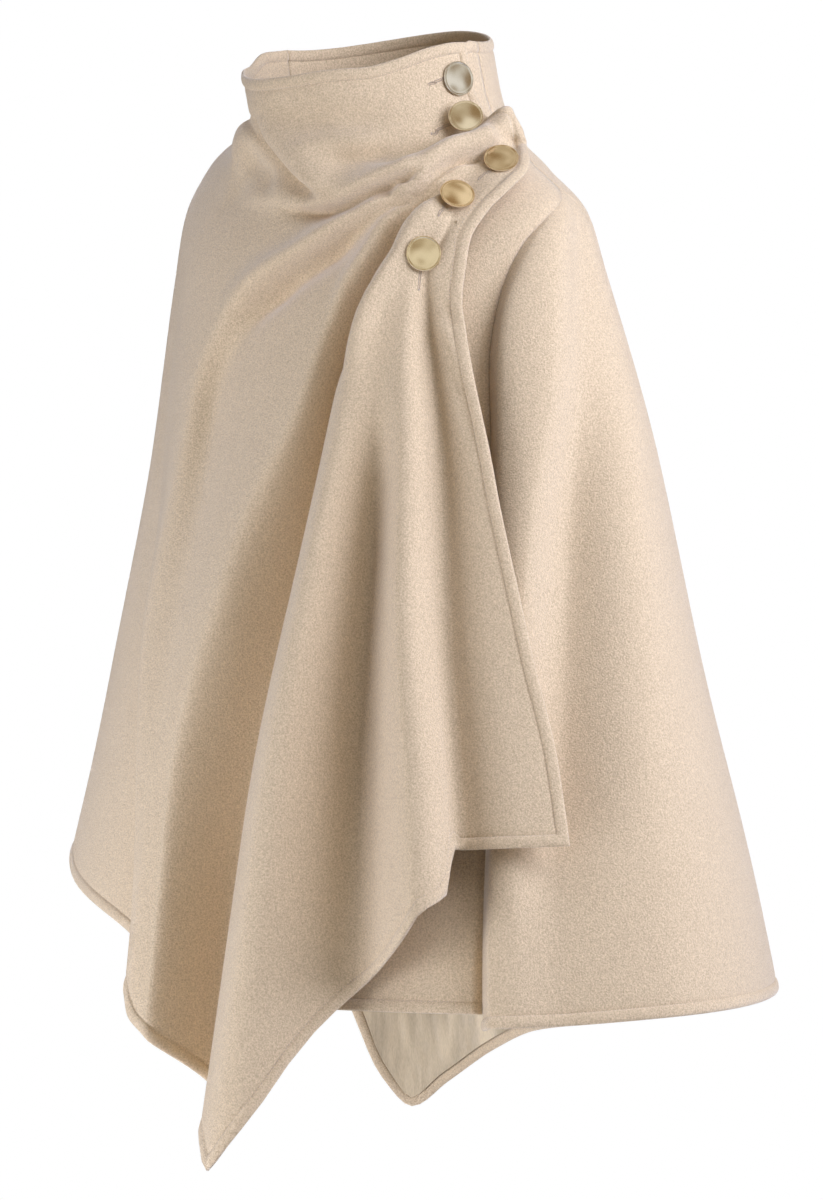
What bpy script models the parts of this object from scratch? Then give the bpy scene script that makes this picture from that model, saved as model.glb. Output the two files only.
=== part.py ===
# Wool cape with a funnel collar, a wide front that wraps over to the wearer's left shoulder and buttons there, a cape-sleeve panel on that side, and a lined back. Metres, +Z up, the wearer faces -Y, the origin is the middle of the neck base.
import math

import bpy
import numpy as np

WOOL = 0.0026  # two plies of melton pressed together
SATIN = 0.0010
SEAM = 0.0003  # space left at a seam between two pieces
TURNED = 0.009  # depth of the turned hem that the lining stops short of

# One row a level, from the collar's rim to below the lowest hem. The angle runs from the front (0) to the wearer's left (90).
# name, height at front, right, back, left, half width right, left, half depth front, back, middle x, y
RINGS = (
    ("rim", 0.047, 0.086, 0.103, 0.073, 0.106, 0.106, 0.108, 0.106, 0.000, -0.026),
    ("neck", 0.010, 0.035, 0.060, 0.034, 0.107, 0.108, 0.108, 0.106, 0.000, -0.016),
    ("base", -0.032, 0.004, 0.018, 0.004, 0.116, 0.116, 0.113, 0.110, 0.000, -0.008),
    ("slope", -0.078, -0.004, -0.028, -0.028, 0.158, 0.148, 0.119, 0.122, 0.000, 0.000),
    ("shoulder", -0.130, -0.038, -0.085, -0.067, 0.192, 0.190, 0.128, 0.133, 0.000, 0.000),
    ("armhole", -0.195, -0.105, -0.150, -0.122, 0.204, 0.207, 0.138, 0.150, 0.000, 0.000),
    ("chest", -0.290, -0.250, -0.270, -0.250, 0.225, 0.246, 0.156, 0.176, 0.000, 0.000),
    ("waist", -0.450, -0.450, -0.450, -0.450, 0.264, 0.294, 0.196, 0.204, 0.000, 0.000),
    ("hip", -0.620, -0.620, -0.620, -0.620, 0.300, 0.340, 0.228, 0.236, 0.000, 0.000),
    ("hem", -0.880, -0.880, -0.880, -0.880, 0.350, 0.394, 0.274, 0.282, 0.000, 0.000),
)

# The levels that the fold rows below are given at, in rings counted from the rim.
LEVELS = (0.0, 2.0, 3.5, 4.5, 5.5, 6.5, 7.5, 8.2, 8.8)

# The levels of the rows that every panel has, down to the chest
UPPER_LEVELS = (0.0, 0.7, 1.4, 2.0, 2.4, 2.75, 3.05, 3.35, 3.62, 3.66, 3.9, 4.2, 4.5, 4.95, 5.5)
DENSITY = 1  # columns and rows are multiplied by this

# One row a fold line of the front, from the right seam round to the wearer's left: name, its angle at each level, how far it stands out there in mm
FRONT_FOLDS = (
    ("right_seam", (-100, -100, -100, -100, -100, -100, -100, -100, -100), (0, 0, 0, 0, 0, 0, 0, 0, 0)),
    ("arm_crest", (-84, -84, -80, -80, -80, -78, -76, -74, -74), (0, 0, 2, 4, 5, 4, 3, 6, 8)),
    ("arm_front", (-68, -68, -62, -60, -60, -56, -50, -46, -44), (0, -1, 2, 2, 1, -3, -7, -5, -3)),
    ("side_valley", (-54, -54, -50, -50, -50, -40, -26, -21, -19), (0, -3, 2, 1, -2, -9, -18, -24, -26)),
    ("side_ridge", (-46, -44, -8, -20, -28.5, -27, -18.6, -13.8, -11.8), (0, -1, 4, 6, 6, 9, 10, 9, 9)),
    ("upper_groove", (-36, -30, 12, -12, -21.8, -18.2, -14.3, -11.5, -10.0), (2, 2, 4, -7, -8, 2, 10, 12, 12)),
    ("right_ridge", (-24, -16, 26, 15.0, 7.0, -4.6, -9.4, -7.8, -6.6), (4, 4, 5, 8, 9, 10, 10, 10, 10)),
    ("mid_valley", (-12, -2, 33, 20.6, 13.2, 6.0, 0.4, -1.4, -1.2), (5, 5, 6, -12, -28, -40, -44, -44, -42)),
    ("main_edge", (0, 8, 37.5, 24.2, 17.1, 12.0, 8.0, 6.3, 4.8), (6, 6, 8, 11, 14, 15, 17, 15, 14)),
    ("main_crest", (12, 18, 40.5, 27.8, 21.4, 16.6, 13.0, 11.3, 10.2), (6, 7, 10, 16, 22, 30, 33, 32, 29)),
    ("middle_valley", (26, 30, 43.5, 32.0, 27.4, 23.2, 21.4, 21.6, 20.6), (7, 8, 10, 15, 14, -16, -30, -30, -26)),
    ("left_crest", (40, 41, 46.5, 35.6, 33.0, 31.8, 33.4, 34.0, 34.0), (7, 8, 10, 13, 19, 24, 28, 31, 31)),
    ("left_edge", (50, 50, 49.5, 37.4, 36.0, 35.4, 37.0, 37.6, 37.6), (7, 8, 10, 10, 9, 8, 10, 11, 11)),
    ("flap_valley", (60, 58, 52, 39.4, 38.6, 38.4, 39.2, 39.4, 39.4), (7, 8, 9, 5, -4, -8, -8, -6, -6)),
    ("flap", (73, 69, 55.5, 41.8, 42.8, 45.4, 48.0, 49.0, 49.0), (7, 9, 9, 8, 6, 5, 7, 8, 8)),
)

# The free edge of the front, from the collar's rim over the shoulder and down to the flap's corner: level, angle, stand in mm
FRONT_EDGE = (
    (0.00, 85.0, 7), (0.90, 84.0, 8), (1.40, 83.0, 11), (1.95, 81.5, 16), (2.45, 84.5, 21), (2.90, 84.0, 21),
    (3.35, 79.5, 20), (3.60, 74.5, 17), (3.75, 66.5, 13), (3.90, 58.5, 10), (4.20, 51.8, 9), (4.55, 49.8, 9),
    (5.10, 47.8, 9), (5.50, 48.0, 9), (6.20, 49.9, 10), (6.80, 53.6, 10), (7.45, 56.7, 10), (8.80, 57.2, 10),
)

# The front's hem: fold line (counted from the right seam, 14 is the free edge), height
FRONT_HEM = (
    (0.0, -0.600), (1.0, -0.603), (2.0, -0.630), (3.0, -0.668), (4.0, -0.712), (5.0, -0.728), (6.0, -0.742), (7.0, -0.776),
    (8.0, -0.818), (8.45, -0.838), (9.0, -0.818), (9.25, -0.795), (9.5, -0.752), (9.75, -0.716), (10.0, -0.695),
    (10.35, -0.676), (10.7, -0.655), (11.0, -0.638), (11.5, -0.628), (12.0, -0.620), (12.6, -0.583), (13.0, -0.583), (14.0, -0.583), (15.0, -0.582),
)

# Seams of the pieces under and beside the front: level, angle, stand in mm
SHOULDER_SEAM = ((0.0, 99.0, 0), (1.5, 98.5, 0), (2.5, 96.0, 0), (3.62, 93.2, 0))
FRONT_SEAM = ((3.62, 93.2, 0), (3.66, 92.9, 0), (3.9, 88.5, 0), (4.2, 78.5, -2), (4.5, 68.5, -8), (5.0, 58.5, -15), (5.5, 52.0, -22), (6.5, 47.4, -30), (7.5, 44.0, -36), (8.2, 41.3, -36), (8.8, 40.5, -36))
BACK_SEAM = ((3.62, 93.2, 0), (3.66, 93.5, 0), (3.9, 98.5, 0), (4.3, 108.0, 0), (4.8, 117.0, 0), (5.5, 123.0, 0), (6.5, 127.0, 0), (7.5, 129.0, 0), (8.8, 130.0, 0))
UNDER_EDGE = ((0.0, 38.0, 0), (2.0, 36.0, -2), (3.5, 24.0, -10), (4.5, 12.0, -22), (5.5, 0.0, -38), (6.5, -8.0, -48), (7.5, -14.0, -53), (8.8, -16.0, -54))

# Folds between the seams, as the front's rows
UNDER_FOLDS = (
    ("under_mid", (60, 58, 46, 30, 18, 10, 8, 8, 8), (0, -2, -9, -15, -36, -47, -52, -53, -53)),
    ("under_front", (82, 78, 66, 46, 34, 27, 25, 24, 24), (0, 0, -5, -7, -14, -30, -41, -43, -43)),
)
SIDE_FOLDS = (
    ("fold_edge", (0, 0, 93, 72.0, 54.5, 49.0, 45.5, 42.8, 42.3), (0, 0, 0, -2, -4, -8, -11, -13, -14)),
    ("fold_crest", (0, 0, 94, 81, 69, 55, 48.5, 46.5, 46), (0, 0, 0, 3, 4, 1, -5, -9, -10)),
    ("side_hollow", (0, 0, 95, 93, 84, 66.5, 57.5, 53.5, 53), (0, 0, 0, -2, -8, -22, -24, -16, -14)),
    ("side_swell", (0, 0, 96, 103, 103, 88, 80, 76, 74), (0, 0, 0, 1, 2, 4, 2, 0, -1)),
)
BACK_FOLDS = (
    ("left_hollow", (118, 116, 118, 128, 136, 142, 144, 144, 144), (0, 0, 0, 0, -3, -8, -14, -16, -16)),
    ("left_crest", (138, 138, 140, 146, 152, 156, 158, 158, 158), (0, 0, 0, 0, 1, 3, 4, 5, 5)),
    ("mid_hollow", (158, 160, 162, 166, 172, 176, 179, 180, 180), (0, 0, 0, 0, -4, -9, -14, -16, -16)),
    ("mid_crest", (178, 180, 184, 188, 190, 193, 195, 196, 196), (0, 0, 0, 1, 2, 3, 4, 4, 4)),
    ("tip_crest", (196, 200, 204, 204, 204, 206, 208, 208, 208), (0, 0, 0, 0, -2, -3, 0, 0, 0)),
    ("right_hollow", (214, 218, 220, 220, 220, 222, 222, 222, 222), (0, 0, 0, 0, -3, -8, -14, -16, -16)),
    ("right_crest", (236, 238, 238, 240, 240, 240, 240, 240, 240), (0, 0, 0, 0, 2, 4, 6, 6, 6)),
)
BACK_HEM = (
    (128.0, -0.707), (144.0, -0.720), (158.0, -0.742), (172.0, -0.766), (184.0, -0.779), (194.0, -0.806),
    (202.0, -0.838), (208.0, -0.862), (213.0, -0.832), (219.0, -0.757), (230.0, -0.690), (244.0, -0.625), (260.0, -0.600),
)
UNDER_HEM = -0.706
SIDE_HEM = ((40.0, -0.719), (70.0, -0.713), (105.0, -0.709), (130.0, -0.707))

# Rolls and hollows that cross the front: name, path as (angle, level), height in mm, half width in mm
ROLLS = (
    ("collar_roll", ((88, 2.5), (72, 2.65), (56, 2.85), (40, 3.0), (24, 2.9), (8, 2.75), (-10, 2.6), (-28, 2.55)), 15, 17),
    ("roll_groove", ((74, 3.0), (58, 3.02), (44, 3.1), (32, 3.16), (20, 3.4), (8, 3.8), (-6, 4.4)), -10, 13),
    ("second_roll", ((70, 3.2), (52, 3.3), (40, 3.42), (31, 3.7), (22, 4.2), (15, 4.9), (8, 5.5)), 6, 13),
    ("collar_hollow", ((-32, 1.7), (-20, 1.9), (-8, 2.2), (4, 2.4)), -9, 17),
    ("button_seat", ((58, 2.36), (66, 2.40), (72, 2.42), (78, 2.42), (86, 2.39)), -8, 17),
)

# Buttons down the neck and shoulder: level, angle, height over the cloth and length of the stem in mm
BUTTONS = ((0.86, 75.6, 1.4, 0.2), (2.16, 72.0, 6.8, 3.0), (3.28, 70.0, 2.9, 1.7), (3.54, 52.0, 2.1, 0.9), (4.18, 39.2, 2.0, 0.8))
BUTTON_RADIUS = 0.0150
BUTTON_THICK = 0.0032


def slopes(x, y):
    """Slopes of a curve through the rows of y that never swings past a row."""
    h = np.diff(x)[:, None]
    d = np.diff(y, axis=0) / h
    m = np.zeros_like(y)
    for k in range(1, len(x) - 1):
        a = 2 * h[k] + h[k - 1]
        b = h[k] + 2 * h[k - 1]
        same = d[k - 1] * d[k] > 0
        safe = np.where(same, d[k], 1.0), np.where(same, d[k - 1], 1.0)
        m[k] = np.where(same, (a + b) / (a / safe[1] + b / safe[0]), 0.0)
    m[0] = d[0]
    m[-1] = d[-1]
    return m


def along(x, y, q):
    """The curve through the rows of y at x, read at q."""
    x = np.asarray(x, float)
    y = np.asarray(y, float).reshape(len(x), -1)
    m = slopes(x, y)
    q = np.clip(np.asarray(q, float), x[0], x[-1])
    k = np.clip(np.searchsorted(x, q, side="right") - 1, 0, len(x) - 2)
    h = (x[k + 1] - x[k])[..., None]
    s = (q - x[k])[..., None] / h
    r = 1 - s
    return (1 + 2 * s) * r * r * y[k] + s * r * r * h * m[k] + s * s * (3 - 2 * s) * y[k + 1] - s * s * r * h * m[k + 1]


RING_ROWS = np.array([row[1:] for row in RINGS])


def ring(angle, level):
    """The smooth form of the cape: a point for each angle (degrees) and level."""
    angle, level = np.broadcast_arrays(np.asarray(angle, float), np.asarray(level, float))
    v = along(np.arange(len(RINGS)), RING_ROWS, level)
    s = np.sin(np.radians(angle))
    c = np.cos(np.radians(angle))
    z = np.where(c > 0, v[..., 0], v[..., 2]) * c * c + np.where(s > 0, v[..., 3], v[..., 1]) * s * s
    x = v[..., 8] + np.where(s > 0, v[..., 5], v[..., 4]) * s
    y = v[..., 9] - np.where(c > 0, v[..., 6], v[..., 7]) * c
    return np.stack([x, y, z], -1)


def outward(angle, level):
    """The direction that points out of the smooth form."""
    across = ring(angle + 0.5, level) - ring(angle - 0.5, level)
    down = ring(angle, level + 0.02) - ring(angle, level - 0.02)
    n = np.cross(down, across)
    return n / np.linalg.norm(n, axis=-1, keepdims=True)


def roll_height(points):
    """How far the rolls lift or sink the front at these points of the smooth form."""
    total = np.zeros(points.shape[:-1])
    for _, path, height, width in ROLLS:
        path = np.array(path, float)
        fine = along(np.arange(len(path)), path, np.linspace(0, len(path) - 1, 8 * len(path)))
        ends = ring(fine[:, 0], fine[:, 1])
        nearest = np.full(points.shape[:-1], 9.0)
        share = np.zeros(points.shape[:-1])
        for i in range(len(ends) - 1):
            step = ends[i + 1] - ends[i]
            f = np.clip(((points - ends[i]) @ step) / (step @ step), 0, 1)
            gap = np.linalg.norm(points - ends[i] - f[..., None] * step, axis=-1)
            closer = gap < nearest
            nearest = np.where(closer, gap, nearest)
            share = np.where(closer, (i + f) / (len(ends) - 1), share)
        fade = np.clip(share / 0.25, 0, 1) if path[0, 0] < 80 else np.ones_like(share)
        fade = fade * np.clip((1 - share) / 0.3, 0, 1)
        fade = fade * fade * (3 - 2 * fade)
        total += 0.001 * height * fade * np.exp(-((nearest / (0.001 * width)) ** 2))
    return total


def row_angle(rows, level):
    v = along([r[0] for r in rows], [r[1:] for r in rows], level)
    return v[..., 0], v[..., 1]


def sheet_map(lines, u, level):
    """Angle and stand at line number u, each line being a function of the level, with no swing past a line."""
    values = np.stack([np.stack(line(level), -1) for line in lines])
    d = np.diff(values, axis=0)
    m = np.zeros_like(values)
    same = d[:-1] * d[1:] > 0
    total = np.where(same, d[:-1] + d[1:], 1.0)
    m[1:-1] = np.where(same, 2 * d[:-1] * d[1:] / total, 0.0)
    m[0, ..., 0] = d[0, ..., 0]  # the stand is level at both edges, so that panels meet flat
    m[-1, ..., 0] = d[-1, ..., 0]
    k = np.clip(u.astype(int), 0, len(lines) - 2)
    s = (u - k)[..., None]
    r = 1 - s
    pick = lambda rows, at: np.take_along_axis(rows, np.broadcast_to(at[None, ..., None], (1,) + rows.shape[1:]), 0)[0]
    v = (1 + 2 * s) * r * r * pick(values, k) + s * r * r * pick(m, k) + s * s * (3 - 2 * s) * pick(values, k + 1) - s * s * r * pick(m, k + 1)
    return v[..., 0], v[..., 1]


def fold_line(row):
    return lambda level: tuple(along(LEVELS, np.stack([row[1], row[2]], -1), level)[..., i] for i in (0, 1))


def edge_line(rows):
    return lambda level: row_angle(rows, level)


def joined(upper, lower):
    """One edge that follows two tables: the first down to its last level, which the second starts from."""
    first = edge_line(upper)
    second = edge_line(lower)

    def read(level):
        level = np.asarray(level, float)
        use = level <= upper[-1][0]
        return tuple(np.where(use, p, q) for p, q in zip(first(level), second(level)))

    return read


def side_line(row, share):
    """A fold of the side panel: a share of the way between its seams at the top point, then its own row."""
    fold, front, rear = fold_line(row), edge_line(FRONT_SEAM), edge_line(BACK_SEAM)

    def read(level):
        w = np.clip((np.asarray(level, float) - 3.66) / 0.9, 0, 1)
        w = w * w * (3 - 2 * w)
        near, far, (angle, stand) = front(level)[0], rear(level)[0], fold(level)
        return (near + share * (far - near)) * (1 - w) + angle * w, stand * w

    return read


def level_at(angle, height):
    """The level at which the smooth form at this angle reaches the height."""
    levels = np.linspace(3.0, 9.0, 601)
    heights = ring(angle, levels)[:, 2]
    return float(np.interp(-height, -heights, levels))


def front_grid(us, lower_rows):
    """Points of the front's outer face: a column for each u, rows from rim to hem."""
    lines = [fold_line(row) for row in FRONT_FOLDS] + [edge_line(FRONT_EDGE)]
    hem_u = [r[0] for r in FRONT_HEM]
    hem_z = [r[1] for r in FRONT_HEM]
    levels = []
    for u in us:
        low = 8.2
        z = float(along(hem_u, hem_z, u)[0])
        for _ in range(4):
            a, _s = sheet_map(lines, np.array([u]), np.array([low]))
            low = level_at(float(a[0]), z)
        levels.append(spaced(0.0, low, lower_rows))
    grid_t = np.array(levels)
    grid_u = np.repeat(np.asarray(us, float)[:, None], grid_t.shape[1], 1)
    angle, stand = sheet_map(lines, grid_u, grid_t)
    base = ring(angle, grid_t)
    return base + outward(angle, grid_t) * (0.001 * stand + roll_height(base))[..., None]


def spaced(top, low, lower_rows):
    """Levels from top to low: the same over the collar and shoulder for every panel, so that their seams meet, then evenly to the hem."""
    upper = [t for t in UPPER_LEVELS if t >= top - 1e-6]
    parts = [np.linspace(p, q, DENSITY, endpoint=False) for p, q in zip(upper[:-1], upper[1:])]
    return np.concatenate(parts + [np.linspace(upper[-1], low, lower_rows * DENSITY + 1)])


def panel_grid(lines, us, lower_rows, hem, top=0.0):
    """As front_grid for a panel whose hem height is a function of the angle."""
    levels = []
    for u in us:
        low = 8.2
        for _ in range(5):
            a, _s = sheet_map(lines, np.array([u]), np.array([low]))
            low = level_at(float(a[0]), hem(float(a[0])))
        levels.append(spaced(top, low, lower_rows))
    grid_t = np.array(levels)
    grid_u = np.repeat(np.asarray(us, float)[:, None], grid_t.shape[1], 1)
    angle, stand = sheet_map(lines, grid_u, grid_t)
    base = ring(angle, grid_t)
    return base + outward(angle, grid_t) * (0.001 * stand)[..., None]


def inside(points, depth):
    """The same sheet moved in by depth, along its own corners' normals."""
    across = np.gradient(points, axis=0)
    down = np.gradient(points, axis=1)
    n = np.cross(down, across)
    return points - n / np.linalg.norm(n, axis=-1, keepdims=True) * depth


def away_from_seam(points, first, last):
    """Moves the panel's two side edges back from their seams by half the seam space, along the cloth."""
    points = points.copy()
    for edge, inner, back in ((0, 1, first), (-1, -2, last)):
        if back:
            step = points[inner] - points[edge]
            points[edge] += step / np.linalg.norm(step, axis=-1, keepdims=True) * back
    return points


def material(name, colour, metal, rough):
    made = bpy.data.materials.new(name)
    made.use_nodes = True
    shader = made.node_tree.nodes["Principled BSDF"]
    shader.inputs["Base Color"].default_value = (*colour, 1)
    shader.inputs["Metallic"].default_value = metal
    shader.inputs["Roughness"].default_value = rough
    made.diffuse_color = (*colour, 1)
    return made


def cloth(name, points, thick, made):
    """An open sheet lofted through columns of points, given its thickness inwards."""
    columns, rows = points.shape[:2]
    faces = []
    for i in range(columns - 1):
        for j in range(rows - 1):
            a = i * rows + j
            faces.append((a, a + 1, a + rows + 1, a + rows))
    mesh = bpy.data.meshes.new(name)
    mesh.from_pydata([tuple(map(float, p)) for p in points.reshape(-1, 3)], [], faces)
    mesh.update()
    obj = bpy.data.objects.new(name, mesh)
    cape.objects.link(obj)
    obj.data.materials.append(made)
    wall = obj.modifiers.new("wall", "SOLIDIFY")
    wall.thickness = thick
    wall.offset = -1
    wall.use_even_offset = False
    return obj


def button(name, centre, axis, stem, made):
    """A turned disc with a thin raised rim and a short stem that reaches down to the cloth."""
    r = BUTTON_RADIUS
    t = BUTTON_THICK
    profile = (
        (0.0, -stem), (0.0032, -stem), (0.0032, 0.0010), (r - 0.0012, 0.0010), (r - 0.0002, 0.0018), (r, 0.0028),
        (r - 0.0004, t), (r - 0.0012, t), (r - 0.0018, t - 0.0005), (0.0, t - 0.0005),
    )
    steps = 24
    verts = []
    for k in range(steps):
        a = 2 * math.pi * k / steps
        verts += [(x * math.cos(a), x * math.sin(a), z) for x, z in profile[1:-1]]
    n = len(profile) - 2
    faces = []
    for k in range(steps):
        j = (k + 1) % steps
        faces += [(k * n + i, j * n + i, j * n + i + 1, k * n + i + 1) for i in range(n - 1)]
    faces.append(tuple(k * n for k in range(steps))[::-1])
    faces.append(tuple(k * n + n - 1 for k in range(steps)))
    z = np.asarray(axis) / np.linalg.norm(axis)
    x = np.cross([0.0, 0.0, 1.0], z)
    x /= np.linalg.norm(x)
    y = np.cross(z, x)
    placed = [tuple(np.asarray(centre) + v[0] * x + v[1] * y + v[2] * z) for v in verts]
    mesh = bpy.data.meshes.new(name)
    mesh.from_pydata(placed, [], faces)
    mesh.update()
    obj = bpy.data.objects.new(name, mesh)
    cape.objects.link(obj)
    obj.data.materials.append(made)
    return obj


def columns(counts, first=0.05, last=0.05):
    """Line numbers with this many columns between each line and the next, and a narrow one at each seam, where two panels have to face the same way."""
    us = [0.0]
    for k, n in enumerate(counts):
        us += [k + (i + 1) / (n * DENSITY) for i in range(n * DENSITY)]
    return us[:1] + [first] + us[1:-1] + [len(counts) - last] + us[-1:]


for old in list(bpy.data.objects):
    bpy.data.objects.remove(old, do_unlink=True)
cape = bpy.data.collections.new("wool_cape")
bpy.context.scene.collection.children.link(cape)

camel = (0.63, 0.50, 0.37)
front = away_from_seam(front_grid(columns((2, 2, 2, 2, 2, 2, 3, 2, 2, 3, 3, 2, 2, 2, 2)), 10), SEAM / 2, 0)
cloth("front_overlap", front, WOOL, material("front_wool", camel, 0, 0.9))

under_lines = [edge_line(UNDER_EDGE)] + [fold_line(r) for r in UNDER_FOLDS] + [joined(SHOULDER_SEAM, FRONT_SEAM)]
under = panel_grid(under_lines, columns((3, 3, 4)), 10, lambda a: UNDER_HEM)
cloth("left_front", away_from_seam(under, 0, SEAM / 2), WOOL, material("under_wool", camel, 0, 0.9))

side_lines = [edge_line(FRONT_SEAM)] + [side_line(r, f) for r, f in zip(SIDE_FOLDS, (0.12, 0.3, 0.55, 0.8))] + [edge_line(BACK_SEAM)]
side_hem = lambda a: float(along([r[0] for r in SIDE_HEM], [r[1] for r in SIDE_HEM], a)[0])
side = panel_grid(side_lines, columns((2, 2, 3, 4, 3)), 10, side_hem, top=3.66)
cloth("left_side", away_from_seam(side, SEAM / 2, SEAM / 2), WOOL, material("side_wool", camel, 0, 0.9))

back_lines = [joined(SHOULDER_SEAM, BACK_SEAM)] + [fold_line(r) for r in BACK_FOLDS] + [lambda level: (np.full_like(level, 260.0), np.zeros_like(level))]
back_hem = lambda a: float(along([r[0] for r in BACK_HEM], [r[1] for r in BACK_HEM], a)[0])
back_us = columns((2, 2, 3, 3, 3, 3, 3, 2))
back = away_from_seam(panel_grid(back_lines, back_us, 10, back_hem), SEAM / 2, SEAM / 2)
cloth("back", back, WOOL, material("back_wool", camel, 0, 0.9))

# The lining: the back's own points moved inside it, from the shoulder down to the turned hem
lining = inside(back, WOOL + 0.0008)[1:-1, UPPER_LEVELS.index(3.62) * DENSITY :]
up = lining[:, -2] - lining[:, -1]
lining[:, -1] += up / np.linalg.norm(up, axis=-1, keepdims=True) * TURNED
cloth("back_lining", lining, SATIN, material("satin", (0.50, 0.45, 0.33), 0, 0.4))

lines = [fold_line(row) for row in FRONT_FOLDS] + [edge_line(FRONT_EDGE)]


def front_face(angle, level):
    """A point of the front's outer face at this angle and level, and the way out of it."""
    def at(a, t):
        us = np.linspace(0, len(lines) - 1, 1401)
        angles, stands = sheet_map(lines, us, np.full_like(us, t))
        k = np.arange(len(us))[us > 5]
        i = k[np.argmin(np.abs(angles[k] - a))]
        base = ring(a, t)
        return base + outward(np.asarray(float(a)), np.asarray(float(t))) * (0.001 * stands[i] + roll_height(base[None])[0])

    across = at(angle + 3, level) - at(angle - 3, level)
    down = at(angle, level + 0.12) - at(angle, level - 0.12)
    way = np.cross(down, across)
    return at(angle, level), way / np.linalg.norm(way)


for number, (level, angle, lift, stem) in enumerate(BUTTONS, 1):
    centre, way = front_face(angle, level)
    button(f"button_{number}", centre + way * 0.001 * lift, way, 0.001 * stem, material(f"gold_{number}", (0.72, 0.62, 0.42), 1, 0.15))
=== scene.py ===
# Looks of the wool cape: each cloth panel is a thin closed shell laid on the solid's own form, with rolled and stitched edges, creases and drawn folds placed from short tables, felted wool, a satin lining, worked buttonholes and polished buttons.
import math

import bpy
import numpy as np
from mathutils import Matrix, Vector
from mathutils.kdtree import KDTree


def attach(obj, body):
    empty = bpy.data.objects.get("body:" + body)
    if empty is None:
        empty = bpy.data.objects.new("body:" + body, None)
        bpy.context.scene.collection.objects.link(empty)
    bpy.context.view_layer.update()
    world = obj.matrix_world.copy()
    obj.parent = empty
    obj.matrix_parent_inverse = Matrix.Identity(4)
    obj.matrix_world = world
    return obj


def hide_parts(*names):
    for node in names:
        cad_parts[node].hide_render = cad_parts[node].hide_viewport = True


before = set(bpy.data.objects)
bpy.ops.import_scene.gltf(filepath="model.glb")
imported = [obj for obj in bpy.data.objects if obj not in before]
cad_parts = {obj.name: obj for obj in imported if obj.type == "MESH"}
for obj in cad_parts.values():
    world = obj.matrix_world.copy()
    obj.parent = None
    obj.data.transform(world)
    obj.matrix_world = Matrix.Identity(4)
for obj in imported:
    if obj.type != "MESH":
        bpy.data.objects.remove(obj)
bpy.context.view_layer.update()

WOOL = 0.0026  # two plies of melton pressed together
SATIN = 0.0008
TURNED = 0.009  # depth of the turned hem that the lining stops short of
MM = 0.001

# One row a level, from the collar's rim to below the lowest hem. The angle runs from the front (0) to the wearer's left (90).
# name, height at front, right, back, left, half width right, left, half depth front, back, middle x, y
RINGS = (
    ("rim", 0.047, 0.086, 0.103, 0.073, 0.106, 0.106, 0.108, 0.106, 0.000, -0.026),
    ("neck", 0.010, 0.035, 0.060, 0.034, 0.107, 0.108, 0.108, 0.106, 0.000, -0.016),
    ("base", -0.032, 0.004, 0.018, 0.004, 0.116, 0.116, 0.113, 0.110, 0.000, -0.008),
    ("slope", -0.078, -0.004, -0.028, -0.028, 0.158, 0.148, 0.119, 0.122, 0.000, 0.000),
    ("shoulder", -0.130, -0.038, -0.085, -0.067, 0.192, 0.190, 0.128, 0.133, 0.000, 0.000),
    ("armhole", -0.195, -0.105, -0.150, -0.122, 0.204, 0.207, 0.138, 0.150, 0.000, 0.000),
    ("chest", -0.290, -0.250, -0.270, -0.250, 0.225, 0.246, 0.156, 0.176, 0.000, 0.000),
    ("waist", -0.450, -0.450, -0.450, -0.450, 0.264, 0.294, 0.196, 0.204, 0.000, 0.000),
    ("hip", -0.620, -0.620, -0.620, -0.620, 0.300, 0.340, 0.228, 0.236, 0.000, 0.000),
    ("hem", -0.880, -0.880, -0.880, -0.880, 0.350, 0.394, 0.274, 0.282, 0.000, 0.000),
)

# The levels that the fold rows below are given at, in rings counted from the rim.
LEVELS = (0.0, 2.0, 3.5, 4.5, 5.5, 6.5, 7.5, 8.2, 8.8)

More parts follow.
